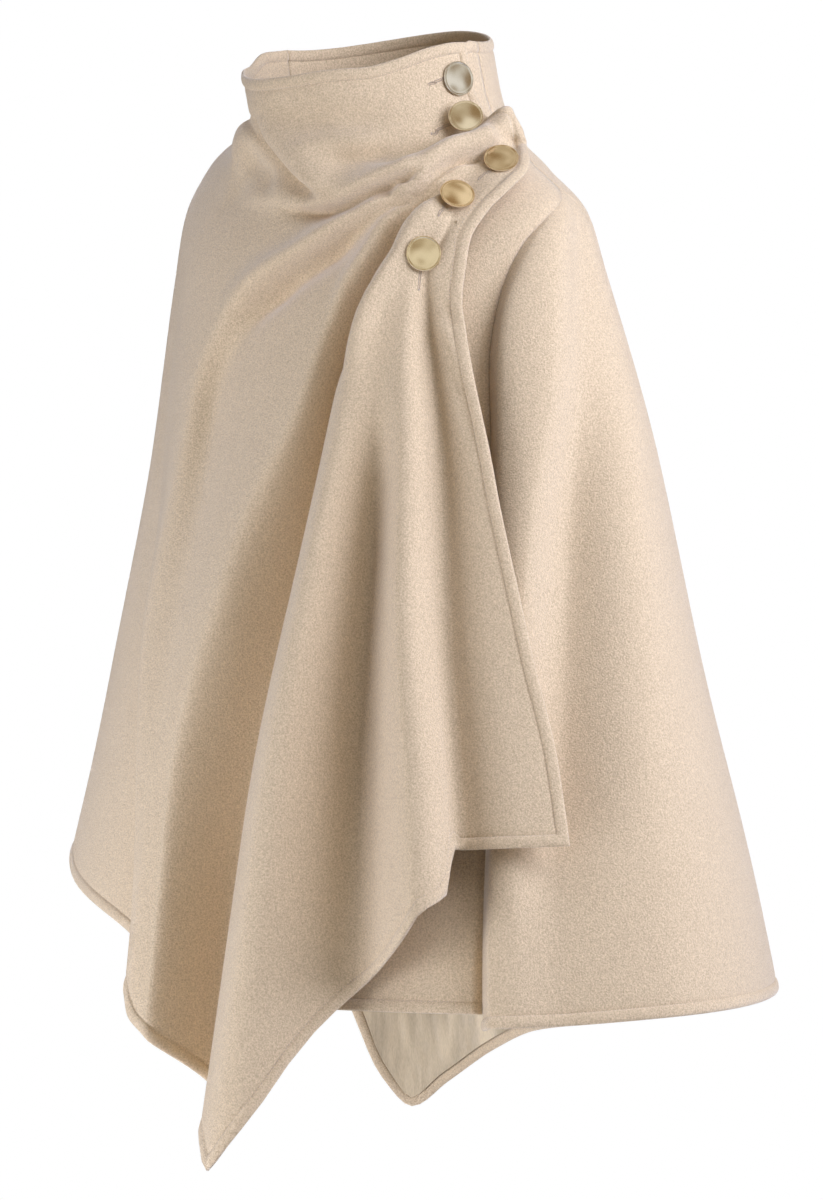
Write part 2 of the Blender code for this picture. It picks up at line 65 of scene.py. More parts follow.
# One row a fold line of the front, from the right seam round to the wearer's left: name, its angle at each level, how far it stands out there in mm
FRONT_FOLDS = (
    ("right_seam", (-100, -100, -100, -100, -100, -100, -100, -100, -100), (0, 0, 0, 0, 0, 0, 0, 0, 0)),
    ("arm_crest", (-84, -84, -80, -80, -80, -78, -76, -74, -74), (0, 0, 2, 4, 5, 4, 3, 6, 8)),
    ("arm_front", (-68, -68, -62, -60, -60, -56, -50, -46, -44), (0, -1, 2, 2, 1, -3, -7, -5, -3)),
    ("side_valley", (-54, -54, -50, -50, -50, -40, -26, -21, -19), (0, -3, 2, 1, -2, -9, -18, -24, -26)),
    ("side_ridge", (-46, -44, -8, -20, -28.5, -27, -18.6, -13.8, -11.8), (0, -1, 4, 6, 6, 9, 10, 9, 9)),
    ("upper_groove", (-36, -30, 12, -12, -21.8, -18.2, -14.3, -11.5, -10.0), (2, 2, 4, -7, -8, 2, 10, 12, 12)),
    ("right_ridge", (-24, -16, 26, 15.0, 7.0, -4.6, -9.4, -7.8, -6.6), (4, 4, 5, 8, 9, 10, 10, 10, 10)),
    ("mid_valley", (-12, -2, 33, 20.6, 13.2, 6.0, 0.4, -1.4, -1.2), (5, 5, 6, -12, -28, -40, -44, -44, -42)),
    ("main_edge", (0, 8, 37.5, 24.2, 17.1, 12.0, 8.0, 6.3, 4.8), (6, 6, 8, 11, 14, 15, 17, 15, 14)),
    ("main_crest", (12, 18, 40.5, 27.8, 21.4, 16.6, 13.0, 11.3, 10.2), (6, 7, 10, 16, 22, 30, 33, 32, 29)),
    ("middle_valley", (26, 30, 43.5, 32.0, 27.4, 23.2, 21.4, 21.6, 20.6), (7, 8, 10, 15, 14, -16, -30, -30, -26)),
    ("left_crest", (40, 41, 46.5, 35.6, 33.0, 31.8, 33.4, 34.0, 34.0), (7, 8, 10, 13, 19, 24, 28, 31, 31)),
    ("left_edge", (50, 50, 49.5, 37.4, 36.0, 35.4, 37.0, 37.6, 37.6), (7, 8, 10, 10, 9, 8, 10, 11, 11)),
    ("flap_valley", (60, 58, 52, 39.4, 38.6, 38.4, 39.2, 39.4, 39.4), (7, 8, 9, 5, -4, -8, -8, -6, -6)),
    ("flap", (73, 69, 55.5, 41.8, 42.8, 45.4, 48.0, 49.0, 49.0), (7, 9, 9, 8, 6, 5, 7, 8, 8)),
)

# How far the front's rim lies below the smooth form's: angle, drop in mm
FRONT_RIM = ((-100.0, 0), (-84.0, 4), (-66.0, 13), (-46.0, 12), (-24.0, 10), (0.0, 8), (15.0, 8), (26.0, 10), (40.0, 14), (52.0, 12), (64.0, 8), (76.0, 5), (86.0, 4))

# The free edge of the front, from the collar's rim over the shoulder and down to the flap's corner: level, angle, stand in mm
FRONT_EDGE = (
    (0.00, 85.0, 7), (0.90, 84.0, 8), (1.40, 83.0, 11), (1.95, 81.5, 16), (2.45, 84.5, 21), (2.90, 84.0, 21),
    (3.35, 79.5, 20), (3.60, 74.5, 17), (3.75, 66.5, 13), (3.90, 58.5, 10), (4.20, 51.8, 9), (4.55, 49.8, 9),
    (5.10, 47.8, 9), (5.50, 48.0, 9), (6.20, 49.9, 10), (6.80, 53.6, 10), (7.45, 56.7, 10), (8.80, 57.2, 10),
)

# The front's hem: fold line (counted from the right seam, 14 is the free edge), height
FRONT_HEM = (
    (0.0, -0.600), (1.0, -0.603), (2.0, -0.630), (3.0, -0.668), (4.0, -0.712), (5.0, -0.728), (6.0, -0.742), (7.0, -0.776),
    (8.0, -0.818), (8.45, -0.838), (9.0, -0.818), (9.25, -0.795), (9.5, -0.752), (9.75, -0.716), (10.0, -0.695),
    (10.35, -0.676), (10.7, -0.655), (11.0, -0.638), (11.5, -0.628), (12.0, -0.620), (12.6, -0.583), (13.0, -0.583), (14.0, -0.583), (15.0, -0.582),
)

# Seams of the pieces under and beside the front: level, angle, stand in mm
SHOULDER_SEAM = ((0.0, 99.0, 0), (1.5, 98.5, 0), (2.5, 96.0, 0), (3.62, 93.2, 0))
FRONT_SEAM = ((3.62, 93.2, 0), (3.66, 92.9, 0), (3.9, 88.5, 0), (4.2, 78.5, -2), (4.5, 68.5, -8), (5.0, 58.5, -15), (5.5, 52.0, -22), (6.5, 47.4, -30), (7.5, 44.0, -36), (8.2, 41.3, -36), (8.8, 40.5, -36))
BACK_SEAM = ((3.62, 93.2, 0), (3.66, 93.5, 0), (3.9, 98.5, 0), (4.3, 108.0, 0), (4.8, 117.0, 0), (5.5, 123.0, 0), (6.5, 127.0, 0), (7.5, 129.0, 0), (8.8, 130.0, 0))
UNDER_EDGE = ((0.0, 38.0, 0), (2.0, 36.0, -2), (3.5, 24.0, -10), (4.5, 12.0, -22), (5.5, 0.0, -38), (6.5, -8.0, -48), (7.5, -14.0, -53), (8.8, -16.0, -54))

# Folds between the seams, as the front's rows
UNDER_FOLDS = (
    ("under_mid", (60, 58, 46, 30, 18, 10, 8, 8, 8), (0, -2, -9, -15, -36, -47, -52, -53, -53)),
    ("under_front", (82, 78, 66, 46, 34, 27, 25, 24, 24), (0, 0, -5, -7, -14, -30, -41, -43, -43)),
)
SIDE_FOLDS = (
    ("fold_edge", (0, 0, 93, 72.0, 54.5, 49.0, 45.5, 42.8, 42.3), (0, 0, 0, -2, -4, -8, -11, -13, -14)),
    ("fold_crest", (0, 0, 94, 81, 69, 55, 48.5, 46.5, 46), (0, 0, 0, 3, 4, 1, -5, -9, -10)),
    ("side_hollow", (0, 0, 95, 93, 84, 66.5, 57.5, 53.5, 53), (0, 0, 0, -2, -8, -22, -24, -16, -14)),
    ("side_swell", (0, 0, 96, 103, 103, 88, 80, 76, 74), (0, 0, 0, 1, 2, 4, 2, 0, -1)),
)
BACK_FOLDS = (
    ("left_hollow", (118, 116, 118, 128, 136, 142, 144, 144, 144), (0, 0, 0, 0, -3, -8, -14, -16, -16)),
    ("left_crest", (138, 138, 140, 146, 152, 156, 158, 158, 158), (0, 0, 0, 0, 1, 3, 4, 5, 5)),
    ("mid_hollow", (158, 160, 162, 166, 172, 176, 179, 180, 180), (0, 0, 0, 0, -4, -9, -14, -16, -16)),
    ("mid_crest", (178, 180, 184, 188, 190, 193, 195, 196, 196), (0, 0, 0, 1, 2, 3, 4, 4, 4)),
    ("tip_crest", (196, 200, 204, 204, 204, 206, 208, 208, 208), (0, 0, 0, 0, -2, -3, 0, 0, 0)),
    ("right_hollow", (214, 218, 220, 220, 220, 222, 222, 222, 222), (0, 0, 0, 0, -3, -8, -14, -16, -16)),
    ("right_crest", (236, 238, 238, 240, 240, 240, 240, 240, 240), (0, 0, 0, 0, 2, 4, 6, 6, 6)),
)
BACK_HEM = (
    (128.0, -0.707), (144.0, -0.720), (158.0, -0.742), (172.0, -0.766), (184.0, -0.779), (194.0, -0.806),
    (202.0, -0.838), (208.0, -0.862), (213.0, -0.832), (219.0, -0.757), (230.0, -0.690), (244.0, -0.625), (260.0, -0.600),
)
UNDER_HEM = -0.706
SIDE_HEM = ((40.0, -0.719), (70.0, -0.713), (105.0, -0.709), (130.0, -0.707))

def slopes(x, y):
    """Slopes of a curve through the rows of y that never swings past a row."""
    h = np.diff(x)[:, None]
    d = np.diff(y, axis=0) / h
    m = np.zeros_like(y)
    for k in range(1, len(x) - 1):
        a = 2 * h[k] + h[k - 1]
        b = h[k] + 2 * h[k - 1]
        same = d[k - 1] * d[k] > 0
        safe = np.where(same, d[k], 1.0), np.where(same, d[k - 1], 1.0)
        m[k] = np.where(same, (a + b) / (a / safe[1] + b / safe[0]), 0.0)
    m[0] = d[0]
    m[-1] = d[-1]
    return m


def along(x, y, q):
    """The curve through the rows of y at x, read at q."""
    x = np.asarray(x, float)
    y = np.asarray(y, float).reshape(len(x), -1)
    m = slopes(x, y)
    q = np.clip(np.asarray(q, float), x[0], x[-1])
    k = np.clip(np.searchsorted(x, q, side="right") - 1, 0, len(x) - 2)
    h = (x[k + 1] - x[k])[..., None]
    s = (q - x[k])[..., None] / h
    r = 1 - s
    return (1 + 2 * s) * r * r * y[k] + s * r * r * h * m[k] + s * s * (3 - 2 * s) * y[k + 1] - s * s * r * h * m[k + 1]


RING_ROWS = np.array([row[1:] for row in RINGS])


def ring(angle, level):
    """The smooth form of the cape: a point for each angle (degrees) and level."""
    angle, level = np.broadcast_arrays(np.asarray(angle, float), np.asarray(level, float))
    v = along(np.arange(len(RINGS)), RING_ROWS, level)
    s = np.sin(np.radians(angle))
    c = np.cos(np.radians(angle))
    z = np.where(c > 0, v[..., 0], v[..., 2]) * c * c + np.where(s > 0, v[..., 3], v[..., 1]) * s * s
    x = v[..., 8] + np.where(s > 0, v[..., 5], v[..., 4]) * s
    y = v[..., 9] - np.where(c > 0, v[..., 6], v[..., 7]) * c
    return np.stack([x, y, z], -1)


def outward(angle, level):
    """The direction that points out of the smooth form."""
    across = ring(angle + 0.5, level) - ring(angle - 0.5, level)
    down = ring(angle, level + 0.02) - ring(angle, level - 0.02)
    n = np.cross(down, across)
    return n / np.linalg.norm(n, axis=-1, keepdims=True)


def row_angle(rows, level):
    v = along([r[0] for r in rows], [r[1:] for r in rows], level)
    return v[..., 0], v[..., 1]


def sheet_map(lines, u, level):
    """Angle and stand at line number u, each line being a function of the level, with no swing past a line."""
    values = np.stack([np.stack(line(level), -1) for line in lines])
    d = np.diff(values, axis=0)
    m = np.zeros_like(values)
    same = d[:-1] * d[1:] > 0
    total = np.where(same, d[:-1] + d[1:], 1.0)
    m[1:-1] = np.where(same, 2 * d[:-1] * d[1:] / total, 0.0)
    m[0, ..., 0] = d[0, ..., 0]  # the stand is level at both edges, so that panels meet flat
    m[-1, ..., 0] = d[-1, ..., 0]
    k = np.clip(u.astype(int), 0, len(lines) - 2)
    s = (u - k)[..., None]
    r = 1 - s
    pick = lambda rows, at: np.take_along_axis(rows, np.broadcast_to(at[None, ..., None], (1,) + rows.shape[1:]), 0)[0]
    v = (1 + 2 * s) * r * r * pick(values, k) + s * r * r * pick(m, k) + s * s * (3 - 2 * s) * pick(values, k + 1) - s * s * r * pick(m, k + 1)
    return v[..., 0], v[..., 1]


def fold_line(row):
    return lambda level: tuple(along(LEVELS, np.stack([row[1], row[2]], -1), level)[..., i] for i in (0, 1))


def edge_line(rows):
    return lambda level: row_angle(rows, level)


def joined(upper, lower):
    """One edge that follows two tables: the first down to its last level, which the second starts from."""
    first = edge_line(upper)
    second = edge_line(lower)

    def read(level):
        level = np.asarray(level, float)
        use = level <= upper[-1][0]
        return tuple(np.where(use, p, q) for p, q in zip(first(level), second(level)))

    return read


def side_line(row, share):
    """A fold of the side panel: a share of the way between its seams at the top point, then its own row."""
    fold, front, rear = fold_line(row), edge_line(FRONT_SEAM), edge_line(BACK_SEAM)

    def read(level):
        w = np.clip((np.asarray(level, float) - 3.66) / 0.9, 0, 1)
        w = w * w * (3 - 2 * w)
        near, far, (angle, stand) = front(level)[0], rear(level)[0], fold(level)
        return (near + share * (far - near)) * (1 - w) + angle * w, stand * w

    return read


# Rolls, steps and creases drawn across the front. Each row: name, path (angle, level) from the wearer's right to left, height in mm above the path and its reach in mm, the same below the path, how sharply one side gives way to the other in mm, share of the path over which it fades in and out
CREASES = (
    ("cowl_roll", ((-8, 1.95), (6, 2.15), (15, 2.5), (22, 2.66), (30, 2.72), (39.5, 2.75), (48, 2.77), (57, 2.74), (66.8, 2.70), (78, 2.58), (90, 2.42)), 6, 15, 6, 12, 9, 0.2, 0.0),
    ("shoulder_swell", ((-30, 2.9), (-20, 2.74), (-7, 2.66), (5, 2.72), (14, 2.8)), 3, 13, 0, 15, 7, 0.3, 0.3),
    ("narrow_ridge", ((14, 4.75), (16, 4.56), (18.5, 4.2), (22.5, 3.92), (27, 3.66), (32, 3.42), (39, 3.32), (46, 3.16), (55, 3.1), (66, 3.08)), 7, 8, 6, 7, 4, 0.3, 0.1),
    ("tube_ridge", ((-24, 4.86), (-17.5, 4.42), (-10.5, 4.0), (-3.5, 3.76), (4, 3.6), (10.5, 3.42), (17.5, 3.28), (24, 3.2), (30, 3.14), (37, 3.08)), 8, 14, 8, 8, 5, 0.4, 0.1),
    ("tube_valley", ((-17, 4.86), (-14.5, 4.62), (-10.5, 4.34), (-5, 4.1), (0.5, 3.9), (7, 3.74), (13.5, 3.62), (20, 3.49), (25.5, 3.36), (29, 3.28)), -17, 8, -17, 12, 5, 0.4, 0.3),
    ("collar_hollow", ((-14, 0.9), (-6, 0.98), (6, 1.10), (23.8, 1.31), (38, 1.39), (50, 1.35)), -4.5, 12, -4.5, 12, 6, 0.25, 0.3),
    ("collar_waist", ((-80, 1.0), (-66, 0.98), (-54, 0.96), (-42, 0.96), (-32, 0.98), (-24, 1.0)), -5, 14, -5, 8, 4, 0.3, 0.4),
    ("collar_swell", ((0, 1.70), (15.8, 1.68), (25.5, 1.74), (34.8, 1.9), (44, 2.0)), 4, 9, 4, 9, 5, 0.25, 0.3),
    ("collar_shade", ((16, 2.02), (25.8, 2.16), (35, 2.22), (44, 2.24)), -4, 8, -4, 7, 4, 0.3, 0.3),
    ("shoulder_hollow", ((-40, 1.75), (-34, 1.85), (-27, 1.98), (-16, 2.2), (-6, 2.45)), -7, 12, -7, 14, 6, 0.4, 0.3),
    ("button_seat", ((60, 2.34), (68, 2.38), (75, 2.40), (82, 2.38)), -7, 13, -7, 11, 5, 0.3, 0.25),
    ("button_pocket", ((71, 3.05), (76, 3.02), (79, 2.96), (81, 2.9)), -5, 9, -5, 9, 5, 0.3, 0.1),
    ("pocket_rim", ((76, 2.62), (82, 2.72), (86, 2.9)), 3, 6, 3, 6, 4, 0.3, 0.2),
    ("flap_pull_1", ((41.5, 4.75), (44, 4.95), (46, 5.15), (47.5, 5.3)), -1.6, 4, -1.6, 4, 3, 0.3, 0.3),
    ("flap_pull_2", ((38.5, 4.95), (41.5, 5.1), (44.5, 5.35), (46.5, 5.7)), 1.8, 5, 1.8, 5, 3, 0.3, 0.3),
    ("flap_pull_3", ((42, 5.4), (44, 5.6), (46, 6.0)), -1.5, 5, -1.5, 5, 3, 0.3, 0.3),
    ("slit_pull_2", ((54, 2.05), (60, 2.14), (66, 2.17)), -1.4, 3.5, -1.4, 3.5, 2, 0.4, 0.2),
    ("slit_pull_1", ((57, 0.98), (62, 0.92), (66, 0.86)), -1.0, 3.5, -1.0, 3.5, 2, 0.4, 0.2),
)

# Folds that lie over the cloth beside them with a round edge. Each row: name, path (angle, level), the roll's height, radius and tail in mm, depth and reach of the hollow at its foot in mm, how soft the foot is in mm, the side the roll is on (1 towards the rim, -1 towards the hem), fade in, fade out
ROLLS = (
    ("cowl_edge", ((-40, 1.1), (-30, 1.06), (-20, 1.08), (-17.5, 1.22), (-11, 1.6), (-4, 1.9), (2, 2.14), (7.5, 2.38), (11.5, 2.58), (13, 2.8)), 11, 11, 16, 9, 14, 1.4, 1, 0.5, 0.12),
    ("shoulder_rise", ((-120, 1.5), (-95, 1.42), (-75, 1.32), (-60, 1.24), (-50, 1.2), (-40, 1.2), (-30, 1.3), (-22, 1.5), (-14, 1.85)), 13, 24, 34, 0, 8, 3.0, -1, 0.3, 0.35),
    ("under_cowl", ((-8, 2.76), (4, 2.82), (14.5, 2.9), (21.5, 2.92), (27.5, 2.88), (35, 2.86), (40, 2.9), (47, 2.98)), 9, 9, 12, 12, 10, 1.4, 1, 0.4, 0.12),
    ("long_ridge", ((-14, 4.34), (-8, 4.05), (-2, 3.84), (4, 3.68), (11.5, 3.52), (17.5, 3.4), (24, 3.3), (30.5, 3.24), (35.5, 3.22), (39, 3.17), (43, 3.1)), 6, 6, 11, 6, 8, 1.2, 1, 0.6, 0.1),
    ("main_left", ((18.5, 5.5), (20, 5.1), (21.5, 4.82), (22.5, 4.62), (24, 4.46), (26, 4.28), (28, 4.06), (30.5, 3.9), (33, 3.74), (36, 3.6), (39, 3.52), (43, 3.44), (47.5, 3.38), (52, 3.34)), 10, 8, 12, 12, 8, 1.2, -1, 0.35, 0.15),
    ("under_top_roll", ((35, 3.28), (40.5, 3.24), (45, 3.18), (51, 3.04), (57.5, 2.96), (66, 2.98), (72, 2.97), (77, 2.9)), 12, 8, 12, 8, 6, 1.0, 1, 0.12, 0.15),
    ("line_over_roll", ((28, 2.15), (35.2, 2.42), (40.5, 2.55), (50, 2.54), (61.8, 2.45), (70, 2.40), (80.8, 2.23), (92, 2.0)), 7, 6, 11, 5, 10, 0.8, -1, 0.35, 0.0),
)

EDGE_STEPS = (0.0, 0.25, 0.8, 1.6, 2.7, 4.2, 5.8, 7.3, 8.4, 9.1, 9.6, 10.1, 10.8, 11.8, 13.5)  # mm in from a free edge
STITCH_AT = 10  # the step that the stitches run along


def soft_profile(row):
    up, up_reach, down, down_reach, edge = row

    def read(s):
        above = 0.5 * (1 + np.tanh(s / edge))
        return above * up * np.exp(-((s / up_reach) ** 2)) + (1 - above) * down * np.exp(-((s / down_reach) ** 2))

    return read, 3.2 * max(up_reach, down_reach) * MM


def roll_profile(row):
    high, radius, tail, hollow, reach, foot, side = row

    def read(s):
        s = s * side
        x = np.clip(s / radius, 0, 1)
        roll = high * np.where(s < radius, np.sqrt(np.clip(1 - (1 - x) ** 2, 0, 1)), np.exp(-(((s - radius) / tail) ** 2)))
        above = 0.5 * (1 + np.tanh(s / foot))
        return above * roll - (1 - above) * hollow * np.exp(-((s / reach) ** 2))

    return read, (radius + 2.6 * tail) * MM


def creased(points, out_of, rows, profile=soft_profile):
    """How far the rows of a crease table lift these points, in metres."""
    total = np.zeros(points.shape[:-1])
    for _, path, *shape, fade_in, fade_out in rows:
        read, reach = profile(shape)
        path = np.array(path, float)
        fine = along(np.arange(len(path)), path, np.linspace(0, len(path) - 1, 6 * len(path)))
        ends = ring(fine[:, 0], fine[:, 1])
        near = ((points > ends.min(0) - reach) & (points < ends.max(0) + reach)).all(-1)
        p, n = points[near], out_of[near]
        if not len(p):
            continue
        lengths = np.linalg.norm(np.diff(ends, axis=0), axis=1)
        at = np.concatenate([[0], np.cumsum(lengths)])
        nearest = np.full(len(p), 9.0)
        share = np.zeros(len(p))
        side = np.zeros(len(p))
        for i in range(len(ends) - 1):
            step = ends[i + 1] - ends[i]
            f = np.clip(((p - ends[i]) @ step) / (step @ step), 0, 1)
            gap = p - ends[i] - f[:, None] * step
            far = np.linalg.norm(gap, axis=1)
            closer = far < nearest
            nearest = np.where(closer, far, nearest)
            share = np.where(closer, (at[i] + f * lengths[i]) / at[-1], share)
            turn = np.einsum("ij,ij->i", np.cross(step, gap), n)
            side = np.where(closer, np.sign(turn), side)
        s = side * nearest / MM
        value = read(s)
        fade = np.ones(len(p))
        if fade_in:
            fade *= np.clip(share / fade_in, 0, 1)
        if fade_out:
            fade *= np.clip((1 - share) / fade_out, 0, 1)
        total[near] += MM * value * fade * fade * (3 - 2 * fade)
    return total


TABLE_LEVELS = np.linspace(3.0, 9.0, 601)


def levels_at(angle, height):
    """The level at which the smooth form reaches each height, at each angle."""
    z = ring(np.asarray(angle, float)[:, None], TABLE_LEVELS[None, :])[..., 2]
    return np.array([np.interp(-h, -row, TABLE_LEVELS) for h, row in zip(height, z)])


def place(lines, u, level, relief=None):
    angle, stand = sheet_map(lines, u, level)
    base = ring(angle, level)
    way = outward(angle, level)
    lift = MM * stand
    if relief is not None:
        lift = lift + relief(base, way, angle, level)
    return base + way * lift[..., None]


def normals(points):
    across = np.gradient(points, axis=0)
    down = np.gradient(points, axis=1)
    n = np.cross(down, across)
    return n / np.maximum(np.linalg.norm(n, axis=-1, keepdims=True), 1e-12)


def sheet_grid(lines, columns, rows, hem, top=0.0, free=("right",), top_free=True, relief=None, share_above=0.62, knee=5.5, rim=None):
    """Points of a panel's outer face: columns follow the fold lines, with close columns and rows along every free edge. hem(u, angle) gives the hem's height."""
    last = len(lines) - 1
    steps = np.array(EDGE_STEPS) * MM
    probe = np.linspace(top, 8.9, 120)

    def width(a, b):
        p = place(lines, np.full_like(probe, a), probe)
        q = place(lines, np.full_like(probe, b), probe)
        return np.linalg.norm(p - q, axis=-1)

    w_left, w_right = width(0.0, 1.0), width(last - 1.0, float(last))
    inner = np.asarray(columns, float)

    def lean_at(level):
        """How much wider a band along the last line is on the level than square to it."""
        a, _s = lines[-1](probe)
        p = place(lines, np.full_like(probe, float(last)), probe)
        run = np.gradient(p, axis=0)
        run /= np.linalg.norm(run, axis=1, keepdims=True)
        on_level = ring(a + 0.5, probe) - ring(a - 0.5, probe)
        on_level /= np.linalg.norm(on_level, axis=1, keepdims=True)
        lean = 1 / np.clip(np.linalg.norm(np.cross(run, on_level), axis=1), 0.42, 1)
        return np.interp(level, probe, lean)

    if "right" in free:
        w_right = w_right / lean_at(probe)

    def us_at(level):
        """The line number of every column at this level, an array with a row for each column."""
        level = np.asarray(level, float)
        wl, wr = np.interp(level, probe, w_left), np.interp(level, probe, w_right)
        lo = steps[-1] / wl if "left" in free else np.zeros_like(wl)
        hi = steps[-1] / wr if "right" in free else np.zeros_like(wr)
        return lo, hi

    kinds = []
    if "left" in free:
        kinds += [("left", s) for s in steps[:-1]]
    kinds += [("inner", u) for u in inner]
    if "right" in free:
        kinds += [("right", s) for s in steps[:-1][::-1]]

    def u_of(kind, level):
        name, value = kind
        lo, hi = us_at(level)
        if name == "left":
            return value / np.interp(level, probe, w_left)
        if name == "right":
            return last - value / np.interp(level, probe, w_right)
        u = np.full_like(np.asarray(level, float), value)
        u = np.where(u < 1, lo + u * (1 - lo), u)
        return np.where(u > last - 1, last - 1 + (u - (last - 1)) * (1 - hi), u)

    # the level of the hem on every column
    low = np.full(len(kinds), 8.0)
    for _ in range(6):
        u = np.array([u_of(k, np.array([t]))[0] for k, t in zip(kinds, low)])
        a, _s = sheet_map(lines, u, low)
        low = levels_at(a, np.array([hem(x, y) for x, y in zip(u, a)]))
    hem_line = place(lines, u, low)
    run = np.gradient(hem_line, axis=0)
    run /= np.maximum(np.linalg.norm(run, axis=1, keepdims=True), 1e-12)
    grid_u, grid_t = [], []
    for k, kind in enumerate(kinds):
        start = top
        if rim is not None:
            start = rim(float(sheet_map(lines, u_of(kind, np.array([top])), np.array([top]))[0][0]))
        t = np.linspace(start, low[k], 400)
        p = place(lines, u_of(kind, t), t)
        s = np.concatenate([[0], np.cumsum(np.linalg.norm(np.diff(p, axis=0), axis=1))])
        down = p[-1] - p[-12]
        down /= np.linalg.norm(down)
        lean = 1 / max(0.35, np.linalg.norm(np.cross(down, run[k])))
        bottom = np.interp(s[-1] - steps * lean, s, t)[::-1]
        head = np.interp(steps, s, t) if top_free else np.array([top])
        grid_t.append((head, bottom))
    count = rows
    values = []
    for k, kind in enumerate(kinds):
        head, bottom = grid_t[k]
        start, end = head[-1], bottom[0]
        bend = min(knee, end - 0.5)
        f = np.linspace(0, 1, count + 2)[1:-1]
        middle = np.interp(f, [0, share_above, 1], [start, bend, end])
        # round the change of pace at the bend
        soft = np.convolve(np.pad(middle, 6, mode="reflect", reflect_type="odd"), np.hanning(13) / np.hanning(13).sum(), "valid")
        t = np.concatenate([head, soft, bottom])
        values.append((u_of(kind, t), t))
    grid_u = np.array([v[0] for v in values])
    grid_t = np.array([v[1] for v in values])
    return place(lines, grid_u, grid_t, relief), grid_u, grid_t


def edge_distance(points, free, top_free, bottom_free=True, band=24):
    """Distance of each grid point to the nearest free edge, in metres, and far away for the rest."""
    lines = []
    if top_free:
        lines.append(points[:, 0])
    if bottom_free:
        lines.append(points[:, -1])
    if "left" in free:
        lines.append(points[0])
    if "right" in free:
        lines.append(points[-1])
    dense = []
    for line in lines:
        for a, b in zip(line[:-1], line[1:]):
            n = max(1, int(np.linalg.norm(b - a) / 0.0006))
            dense += [a + (b - a) * i / n for i in range(n)]
        dense.append(line[-1])
    tree = KDTree(len(dense))
    for i, p in enumerate(dense):
        tree.insert(p, i)
    tree.balance()
    nc, nr = points.shape[:2]
    mask = np.zeros((nc, nr), bool)
    if top_free:
        mask[:, :band] = True
    if bottom_free:
        mask[:, -band:] = True
    if "left" in free:
        mask[:band] = True
    if "right" in free:
        mask[-band:] = True
    far = np.full((nc, nr), 1.0)
    for i, j in zip(*np.nonzero(mask)):
        far[i, j] = tree.find(points[i, j])[2]
    return far


def half_thickness(d, thick, full, groove=0.8):
    """Half the cloth's thickness at distance d from a free edge: a rounded roll, then the groove that the stitches pull in."""
    x = np.clip(d / MM, 0, 40)
    roll = full * np.sqrt(np.clip(1 - ((4.8 - x) / 4.8) ** 2, 0, 1)) ** 0.85
    flat = 0.5 * thick / MM
    back = groove + (flat - groove) * np.clip((x - 9.8) / 3.2, 0, 1) ** 1.3
    back = back - 0.35 * np.exp(-(((x - 9.6) / 0.7) ** 2))
    rise = np.clip(x / 2.0, 0, 1)
    return MM * np.where(x < 9.6, np.maximum(roll, (back - 0.0) * rise * np.clip(x / 9.6, 0, 1)), back)


def shell(name, points, thick, free, top_free=True, bottom_free=True, full=2.5, seam_dip=0.5, made=None):
    """A closed thin shell on a grid of outer points."""
    nc, nr = points.shape[:2]
    n = normals(points)
    d = edge_distance(points, free, top_free, bottom_free)
    half = half_thickness(d, thick, full)
    middle = points - n * (thick / 2)
    outer = middle + n * half[..., None]
    inner = middle - n * half[..., None]
    # a seam shows as a soft groove
    for side, present in (("left", "left" not in free), ("right", "right" not in free)):
        if present:
            line = points[0] if side == "left" else points[-1]
            for i in range(10):
                k = i if side == "left" else nc - 1 - i
                gap = np.linalg.norm(points[k] - line, axis=-1) / MM
                dip = seam_dip * np.exp(-((gap / 1.3) ** 2))
                outer[k] -= n[k] * (MM * dip)[:, None]
    shared = np.zeros((nc, nr), bool)
    if top_free:
        shared[:, 0] = True
    if bottom_free:
        shared[:, -1] = True
    if "left" in free:
        shared[0] = True
    if "right" in free:
        shared[-1] = True
    out_id = np.arange(nc * nr).reshape(nc, nr)
    in_id = np.where(shared, out_id, 0)
    rest = ~shared
    in_id[rest] = nc * nr + np.arange(rest.sum())
    verts = np.concatenate([outer.reshape(-1, 3), inner[rest]])
    a, b, c, e = out_id[:-1, :-1], out_id[:-1, 1:], out_id[1:, 1:], out_id[1:, :-1]
    faces = np.stack([a, b, c, e], -1).reshape(-1, 4)
    a, b, c, e = in_id[:-1, :-1], in_id[1:, :-1], in_id[1:, 1:], in_id[:-1, 1:]
    faces = np.concatenate([faces, np.stack([a, b, c, e], -1).reshape(-1, 4)])
    walls = []
    if not top_free:
        walls.append((out_id[:, 0], in_id[:, 0], False))
    if not bottom_free:
        walls.append((out_id[:, -1], in_id[:, -1], True))
    if "left" not in free:
        walls.append((out_id[0], in_id[0], True))
    if "right" not in free:
        walls.append((out_id[-1], in_id[-1], False))
    for o, i, turn in walls:
        quad = np.stack([o[:-1], o[1:], i[1:], i[:-1]], -1)
        faces = np.concatenate([faces, quad[:, ::-1] if turn else quad])
    faces = [list(dict.fromkeys(map(int, f))) for f in faces]
    faces = [f for f in faces if len(f) > 2]
    mesh = bpy.data.meshes.new(name)
    mesh.from_pydata([tuple(map(float, v)) for v in verts], [], faces)
    mesh.update()
    mesh.shade_smooth()
    obj = bpy.data.objects.new(name, mesh)
    bpy.context.scene.collection.objects.link(obj)
    if made is not None:
        mesh.materials.append(made)
    return obj, outer, n



def even(lines, per, at=(6.0,), least=3):
    """Line numbers with a column about every per metres between the fold lines, measured at the mean of some levels."""
    us = []
    for k in range(len(lines) - 1):
        gaps = []
        for level in at:
            ends = [place(lines, np.array([float(v)]), np.array([level]))[0] for v in (k, k + 1)]
            gaps.append(np.linalg.norm(ends[1] - ends[0]))
        n = max(least, int(round(sum(gaps) / len(gaps) / per)))
        us += [k + i / n for i in range(n)]
    return us + [float(len(lines) - 1)]


# ---------------------------------------------------------------- materials


